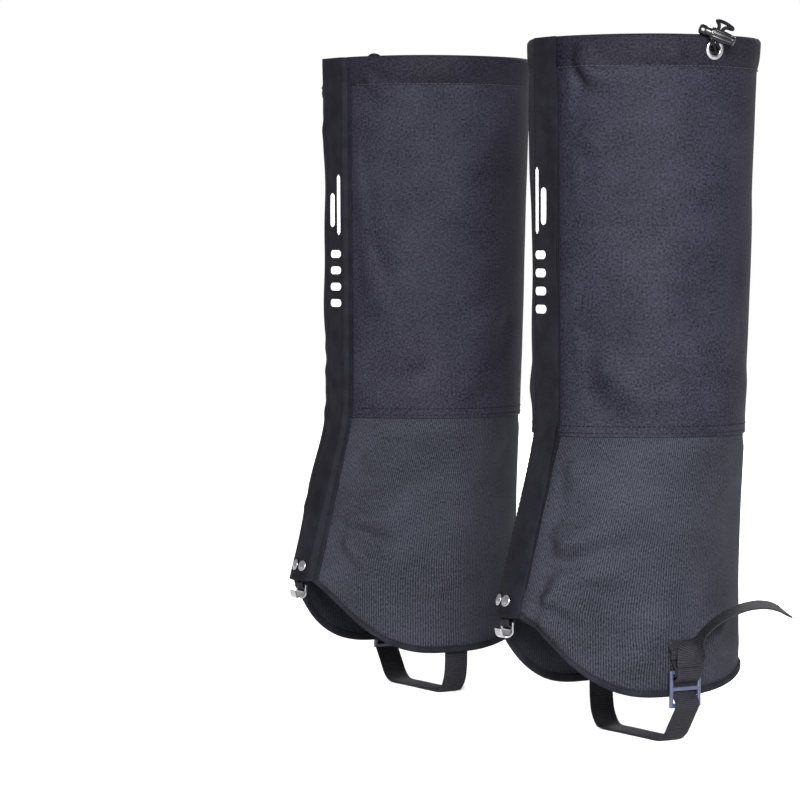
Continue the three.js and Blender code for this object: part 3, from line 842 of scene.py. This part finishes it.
LOCK_AXIS = unit([0.5, 0.78, -0.38])
CORD_AXIS = unit(np.array([0, 0, 1]) - LOCK_AXIS * LOCK_AXIS[2])
INWARD_AXIS = np.cross(CORD_AXIS, LOCK_AXIS)


def from_lock(along, up, inward):
    """A point near the lock, in mm along its barrel, along the cord and in towards the leg."""
    return LOCK_CENTRE + (along * LOCK_AXIS + up * CORD_AXIS + inward * INWARD_AXIS) / 1000


def cord_route():
    """Out of the eyelet, up through the lock, round above it and back."""
    free = [(-1.6, -5.4, 0), (-1.6, 0, 0), (-1.6, 5.4, 0), (-2.3, 7.2, 0.5), (-3.6, 8.6, 2.0),
            (-4.0, 9.4, 4.2), (-2.6, 10.0, 6.4), (0.6, 10.3, 7.6), (4.2, 9.8, 7.4), (7.2, 8.8, 6.2),
            (7.6, 7.8, 4.0), (5.4, 7.2, 2.0), (3.2, 6.8, 0.6), (1.6, 5.2, 0), (1.6, 0, 0), (1.6, -5.4, 0)]
    out = np.array([(79.2, -1.6, 476.5), (83.6, -1.6, 476.5), (86.6, -2.7, 477.0)]) / 1000
    back = np.array([(86.6, 0.9, 477.0), (83.6, 1.6, 476.5), (79.2, 1.6, 476.5)]) / 1000
    return np.vstack([out, [from_lock(*p) for p in free], back])


def braided_tube(name, side, knots, radius):
    """A cord with the raised diamonds of its braid, and the path that it follows."""
    length = path_length(smooth_path(knots, 400))
    rings, around = int(length / 0.00032), 20
    path = placed(side, smooth_path(knots, rings))
    tangent = unit_rows(np.gradient(path, axis=0))
    turn = np.linspace(0, 2 * math.pi, around, endpoint=False)
    normal = unit(np.cross(tangent[0], [0.2, 0.3, 0.9]))
    points = []
    for i in range(rings):
        normal = unit(normal - np.dot(normal, tangent[i]) * tangent[i])
        sideways = np.cross(tangent[i], normal)
        s = i * length / rings
        strands = np.sin(5 * turn + s * 2600) * np.sin(5 * turn - s * 2600)
        size = radius * (0.96 + 0.09 * strands)
        spokes = np.cos(turn)[:, None] * normal + np.sin(turn)[:, None] * sideways
        points.append(path[i] + size[:, None] * spokes)
    points = np.concatenate(points)
    faces = grid_faces(rings, around, across=True)
    faces += [tuple(range(around))[::-1], tuple(range((rings - 1) * around, rings * around))]
    return make_mesh(name, points, faces, np.zeros((len(points), 2)), 60), path


def lock_slot(name, side, low, high, width, depth):
    """A box that cuts the cord's window through the lock."""
    corners = []
    for along in (low, high):
        for up in (-depth / 2, depth / 2):
            for inward in (-width / 2, width / 2):
                corners.append(from_lock(along - LOCK_CENTRE_S * 1000, up, inward))
    faces = [(0, 1, 3, 2), (4, 6, 7, 5), (0, 4, 5, 1), (2, 3, 7, 6), (0, 2, 6, 4), (1, 5, 7, 3)]
    return make_mesh(name, placed(side, np.array(corners)), faces)


def fluted(profile, point, axis, flutes, depth, low, high):
    """A turned barrel whose wall between two heights has rounded grip ribs along it."""
    sides = flutes * 6
    points, faces = turned_parts(np.array(profile) / 1000, sides, point, axis)
    relative = points - point
    height = relative @ axis
    radial = relative - height[:, None] * axis
    radius = np.linalg.norm(radial, axis=1)
    index = np.arange(len(points))
    first = 1 if profile[0][0] == 0 else 0
    turn = ((index - first) % sides) / sides * 2 * math.pi
    inside = (height * 1000 > low) & (height * 1000 < high) & (radius > 0.0036)
    shrink = 1 - depth * (0.5 - 0.5 * np.cos(flutes * turn))
    scale = np.where(inside, shrink, 1.0)
    return point + height[:, None] * axis + radial * scale[:, None], faces


def cord_lock(side):
    end = from_lock(-LOCK_CENTRE_S * 1000, 0, 0)
    barrel = [(0, 24.4), (3.5, 24.4), (3.5, 8.6), (4.15, 8.6), (4.3, 8.8), (4.42, 9.4), (4.5, 10.2),
              (4.6, 11), (4.6, 14), (4.6, 17.4), (4.45, 18.4), (4.2, 20.4), (3.9, 23), (3.6, 24.8),
              (3.2, 25.5), (2.2, 26), (0, 26)]
    points, faces = fluted(barrel, end, LOCK_AXIS, 14, 0.09, 9.9, 25.0)
    body = make_mesh(f"{side}_lock_barrel", placed(side, points), faces, sharp=45)
    cut(body, lock_slot("window", side, 10.8, 17.4, 3.2, 14))
    dress(body, "black_plastic", "cord_lock", ["cord_lock_body"])
    plunger = [(0, 0), (1.4, 0.1), (2.5, 0.45), (3.3, 1.1), (3.7, 1.9), (3.8, 3.0), (3.8, 4.2),
               (3.5, 4.9), (3.1, 5.2), (3.1, 18.2), (2.9, 18.4), (0, 18.4)]
    button = turned(f"{side}_lock_button", side, plunger, 48, end, LOCK_AXIS, 45)
    cut(button, lock_slot("button_window", side, 7.7, 17.5, 3.2, 12))
    eye = turned("eye", side, [(0, -6), (1.25, -6), (1.25, 6), (0, 6)], 24,
                 from_lock(2.9 - LOCK_CENTRE_S * 1000, 0, 0), INWARD_AXIS)
    cut(button, eye)
    dress(button, "black_plastic", "cord_button", ["cord_lock_button"])
    return body, button


def eyelet(side):
    profile = [(3.7, -2.6), (4.3, -2.6), (4.3, 0), (7.1, 0), (7.2, 0.3), (6.9, 0.75), (6.3, 1.1),
               (5.5, 1.25), (4.7, 1.15), (4.1, 0.8), (3.8, 0.3), (3.7, -0.4), (3.7, -2.6)]
    ring = turned(f"{side}_rim_eyelet", side, profile, 64, EYELET, EYELET_AXIS, 60)
    dress(ring, "bright_metal", "gaiter", ["eyelet"])


def drawcord(side):
    cord, path = braided_tube(f"{side}_cord_loop", side, cord_route(), CORD_RADIUS)
    dress(cord, "cord", "gaiter", ["drawcord_loop"])
    tuple(path[0])
    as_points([tuple(p) for p in path[::6]] + [tuple(path[-1])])


# -------- stirrup


def soft_thickness(thickness):
    """Half the thickness of a strap at each of its shares, less towards its edges."""
    return thickness / 2 * np.sqrt(1 - (np.abs(STRAP_SHARES) ** 14) * 0.75)


def webbing_strip(name, side, profile, width, thickness, count, body, node):
    """Webbing across the strap's width that follows a profile of [x, z], with soft edges."""
    profile = smooth_path(np.array(profile) / 1000, count)
    normal = profile_sides(profile)
    thick = soft_thickness(thickness)
    along = distances(profile)
    ribs = 1 + 0.07 * np.sin(along * 2 * math.pi / RIB_PITCH)[:, None]
    grids = []
    for sign in (1, -1):
        shift = sign * thick[None, :] * ribs
        x = profile[:, None, 0] + normal[:, None, 0] * shift
        z = profile[:, None, 1] + normal[:, None, 1] * shift
        y = STRAP_Y + STRAP_SHARES[None, :] * width / 2 + 0 * x
        grids.append(placed(side, np.stack([x, y, z], -1)))
    flat = np.stack(np.broadcast_arrays(STRAP_SHARES[None, :] * width / 2, along[:, None]), -1)
    dress(sheet_mesh(f"{side}_{name}", *grids, flat, 60), "webbing", body, [node])


def instep_strap(side):
    webbing_strip("strap", side, [
        [-48.0, 60], [-48.0, 46], [-46.6, 38], [-46.6, 28], [-46.2, 19], [-44.6, 10.5], [-41.2, 4],
        [-37.2, 0.2], [-33, -0.7], [-20, -0.7], [0, -0.7], [20, -0.7], [33, -0.7], [38.5, 0],
        [44.5, 4], [49.5, 11], [54.5, 18.5], [58.2, 24.5], [58.0, 28.2], [54.0, 32.8],
        [53.3, 35.2], [53.3, 38.8], [54.4, 41], [58.8, 43.6], [60.7, 47], [60.7, 52]],
        STRAP_WIDTH, WEBBING, 420, "stirrup", "instep_strap")


TAIL_ROUTE = [(60.7, -3, 52.4), (60.8, -3, 56), (61.8, -1.2, 63), (63.5, 4.4, 72), (64.5, 14.4, 81),
              (65, 28, 88), (65, 42, 92), (64, 56, 92.6), (62.5, 68, 90.4), (61, 79, 86)]


def strap_tail(side):
    """The loose end: it rises from the buckle, leans back and turns its face upwards."""
    rows = 240
    path = smooth_path(np.array(TAIL_ROUTE) / 1000, rows)
    tangent = unit_rows(np.gradient(path, axis=0))
    v = np.linspace(0, 1, rows)
    w = STRAP_SHARES
    flat_across = unit_rows(np.cross(tangent, [1, 0, 0]))
    tilted = unit_rows(-np.cross(np.cross([0.87, -0.48, -0.12], tangent), tangent))
    across = unit_rows(mix(flat_across, tilted, ease(v * 4)[:, None]))
    face = np.cross(across, tangent)
    thick = soft_thickness(WEBBING)
    length = path_length(path)
    ribs = 1 + 0.07 * np.sin(v * length * 2 * math.pi / RIB_PITCH)[:, None]
    cup = 0.0005 * (w**2)[None, :] * np.sin(v * 7)[:, None]
    middle = path[:, None, :] + across[:, None, :] * (w * STRAP_WIDTH / 2)[None, :, None]
    middle = middle + face[:, None, :] * cup[..., None]
    grids = [placed(side, middle + face[:, None, :] * (sign * thick[None, :] * ribs)[..., None])
             for sign in (1, -1)]
    flat = np.stack(np.broadcast_arrays(w[None, :] * STRAP_WIDTH / 2, (v * length)[:, None]), -1)
    tail = sheet_mesh(f"{side}_strap_end", *grids, flat, 60)
    dress(tail, "webbing", None, ["strap_tail"])
    start = placed(side, [0.0607, STRAP_Y, 0.0520])
    end = placed(side, [0.0612, STRAP_Y, 0.0620])
    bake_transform(tail)


def sewn_patch(side, name, node, reach, sewn_x):
    """A patch over the sewn end of the strap or the tab; only the tab's patch gets two rows of stitches."""
    profile = [[reach, 57.6], [reach, 60], [reach, 62.8], [mix(reach, sewn_x, 0.85), 66.2],
               [sewn_x, 68.3], [sewn_x, 70.5]]
    webbing_strip(name, side, profile, STRAP_WIDTH + 0.004, 0.001, 30, "gaiter", node)
    if reach < 0:
        return
    line = smooth_path(np.array(profile) / 1000, 60)
    for k, across in enumerate((-STRAP_WIDTH / 2, STRAP_WIDTH / 2)):
        path = np.stack([line[:, 0] + 0.0006, STRAP_Y + across + 0 * line[:, 0], line[:, 1]], -1)
        out = np.tile([SIDES[side], 0, 0.3], (len(path), 1))
        row = stitch_row(f"{side}_{name}_stitches_{k}", placed(side, path), out)
        dress(row, "thread", "gaiter")


def buckle_tab(side):
    webbing_strip("tab", side, [
        [52.0, 60], [52.1, 54], [53.1, 50.4], [53.1, 47.2], [54.2, 45.8], [55.6, 45.5], [57, 45.8],
        [58.1, 47.2], [58.1, 50.4], [54.8, 55], [53.5, 60]],
        STRAP_WIDTH, 0.001, 90, "stirrup", "buckle_tab")


def plate_cells(lines_a, lines_b, empty, place, depth):
    """A flat plate of cells between two sets of lines, with some left open, as points and faces."""
    cols, rows = len(lines_a), len(lines_b)
    points = [place(a, b, w) for w in (0, depth) for b in lines_b for a in lines_a]
    solid = {(i, j) for i in range(cols - 1) for j in range(rows - 1)} - set(empty)
    count, faces = cols * rows, []
    for i, j in sorted(solid):
        a, b, c, d = j * cols + i, j * cols + i + 1, (j + 1) * cols + i + 1, (j + 1) * cols + i
        faces += [(a, b, c, d), (d + count, c + count, b + count, a + count)]
        edges = {(0, -1): (a, b), (1, 0): (b, c), (0, 1): (c, d), (-1, 0): (d, a)}
        for (m, n), (p, q) in edges.items():
            if (i + m, j + n) not in solid:
                faces.append((q, p, p + count, q + count))
    used = sorted({k for face in faces for k in face})
    index = {k: n for n, k in enumerate(used)}
    return np.array([points[k] for k in used]), [tuple(index[k] for k in face) for face in faces]


def ladder_buckle(side):
    """A moulded frame with three bars and two slots."""
    y_lines = [-0.013, -0.0104, 0.0104, 0.013]
    z_lines = [0.024, 0.027, 0.0355, 0.0385, 0.047, 0.050]

    def place(y, z, w):
        return [0.0544 + w, STRAP_Y + y, z]

    points, faces = plate_cells(y_lines, z_lines, [(1, 1), (1, 3)], place, 0.0024)
    frame_piece = make_mesh(f"{side}_ladder_buckle", placed(side, points), faces)
    rounded(frame_piece, 0.0008, 4)
    dress(frame_piece, "grey_plastic", "stirrup", ["buckle"])


# -------- lace hook


def lace_hook(side):
    """A bright plate on a tape tab, bent forwards into a hook that narrows to its tip."""
    y, z = HOOK_BAR[1] * 1000, HOOK_BAR[2] * 1000
    bend = [[y, z + 0.8], [y, z - 0.8], [y, z - 4.4], [y, z - 6], [y - 1.2, z - 8.6],
            [y - 3.6, z - 9.6], [y - 6, z - 8.6], [y - 7.0, z - 6.2], [y - 7.4, z - 3.6]]
    path = smooth_path(np.array(bend) / 1000, 30)
    travelled = distances(path)
    normal = profile_sides(path)
    lines = [0.0, 0.0016, 0.0052] + list(np.linspace(0.0070, travelled[-1], 20))

    def place(a, s, w):
        line = sampled(s, travelled, path) + sampled(s, travelled, normal) * (w - 0.0006)
        width = mix(1.0, 0.52, ease((s - 0.0068) / 0.008))
        return [a * width, line[0], line[1]]

    points, faces = plate_cells([-0.0075, -0.0054, 0.0054, 0.0075], lines, [(1, 1)], place, 0.0012)
    hook = make_mesh(f"{side}_hook", placed(side, points), faces)
    rounded(hook, 0.0003, 3)
    dress(hook, "bright_metal", "lace_hook", ["lace_hook"])


def hook_tab(side):
    y, z = HOOK_BAR[1] * 1000, HOOK_BAR[2] * 1000
    bend = [[y + 6.2, z + 16], [y + 5.4, z + 11.5], [y + 3.9, z + 6], [y + 2.4, z + 2.4],
            [y + 2.4, z - 0.6], [y + 1.2, z - 2.4], [y - 1.2, z - 2.4], [y - 2.4, z - 0.6],
            [y - 2.4, z + 2.4]]
    path = smooth_path(np.array(bend) / 1000, 60)
    normal = profile_sides(path)
    v = np.array([-1, -0.95, -0.8, -0.4, 0, 0.4, 0.8, 0.95, 1]) * 0.005
    grids = []
    for sign in (1, -1):
        line = path + normal * sign * 0.0005
        grid = np.stack(np.broadcast_arrays(v[None, :], line[:, None, 0], line[:, None, 1]), -1)
        grids.append(placed(side, grid))
    flat = np.stack(np.broadcast_arrays(v[None, :], distances(path)[:, None]), -1)
    tab = sheet_mesh(f"{side}_hook_tape_tab", *grids, flat)
    dress(tab, "webbing", "gaiter", ["lace_hook_tab"])


# -------- assembly


def gaiter(side):
    upper = dress(upper_panel(side), "panel_cloth", "gaiter", ["upper_panel"])
    lower = dress(lower_panel(side), "guard_cloth", "gaiter", ["lower_panel"])
    casing = dress(top_casing(side), "casing_cloth", "gaiter", ["top_casing"])
    binding = dress(bottom_binding(side), "binding", "gaiter", ["bottom_binding"])
    flap = dress(front_flap(side), "black_cloth", None, ["front_flap", "flap_seam"])
    bend_with_flap(side, flap)
    mark = dress(flap_print(side), "pale_print")
    bend_with_flap(side, mark)
    body_stitches(side)
    flap_stitches(side)
    snap_caps(side)
    eyelet(side)
    lock_pieces = cord_lock(side)
    drawcord(side)
    instep_strap(side)
    strap_tail(side)
    sewn_patch(side, "inner_patch", "strap_patch", -46.3, -48.6)
    sewn_patch(side, "outer_patch", "tab_patch", 56.0, 52.0)
    buckle_tab(side)
    ladder_buckle(side)
    lace_hook(side)
    hook_tab(side)


for side_name in SIDES:
    gaiter(side_name)

# CAD nodes that stay as they are, behind or inside the pieces above.
KEPT_NODES = {
    "loop_tape": "tape_pile",
    "hook_tape": "tape_pile",
    "snap_stud_inner": "bright_metal",
    "snap_stud_outer": "bright_metal",
    "eyelet_washer": "bright_metal",
    "drawcord_front": "cord",
    "drawcord_rear": "cord",
    "cord_lock_spring": "bright_metal",
}

for side_name in SIDES:
    for node_name, finish_name in KEPT_NODES.items():
        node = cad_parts[f"{side_name}_{node_name}"]
        node.data.materials.clear()
        node.data.materials.append(FINISHES[finish_name])

# -------- setting


def floor():
    """A plain pale floor just under the instep straps."""
    bpy.ops.mesh.primitive_plane_add(size=8, location=(0, 0, -0.0019))
    plane = bpy.context.object
    plane.name = "floor"
    n = Nodes("pale floor")
    n.set(base=n.colours(n.noise(n.place, 3, 2), (0.88, 0.88, 0.89), (0.92, 0.92, 0.92)), rough=0.7)
    plane.data.materials.append(n.material)


def area_light(name, location, size, energy):
    light = bpy.data.lights.new(name, "AREA")
    light.shape = "RECTANGLE"
    light.size, light.size_y = size
    light.energy = energy
    lamp = bpy.data.objects.new(name, light)
    lamp.location = location
    lamp.rotation_mode = "QUATERNION"
    lamp.rotation_quaternion = (Vector((0, -0.02, 0.25)) - lamp.location).to_track_quat("-Z", "Y")
    bpy.context.scene.collection.objects.link(lamp)


def setting():
    floor()
    world = bpy.data.worlds.new("studio")
    world.use_nodes = True
    background = world.node_tree.nodes["Background"]
    background.inputs["Color"].default_value = (1, 1, 1, 1)
    background.inputs["Strength"].default_value = 1.0
    bpy.context.scene.world = world
    area_light("key", (3.3, -1.78, 1.55), (1.3, 1.3), 740)
    area_light("back", (-2.4, 2.6, 2.2), (1.6, 1.6), 120)
    camera = bpy.data.cameras.new("camera")
    camera.lens = 146.7
    camera.sensor_width = 36
    eye = bpy.data.objects.new("camera", camera)
    eye.location = (2.024, -1.329, 0.343)
    eye.rotation_mode = "QUATERNION"
    eye.rotation_quaternion = Vector((-0.857, 0.515, -0.0472)).to_track_quat("-Z", "Y")
    bpy.context.scene.collection.objects.link(eye)
    bpy.context.scene.camera = eye
    bpy.context.scene.view_settings.view_transform = "Standard"


setting()
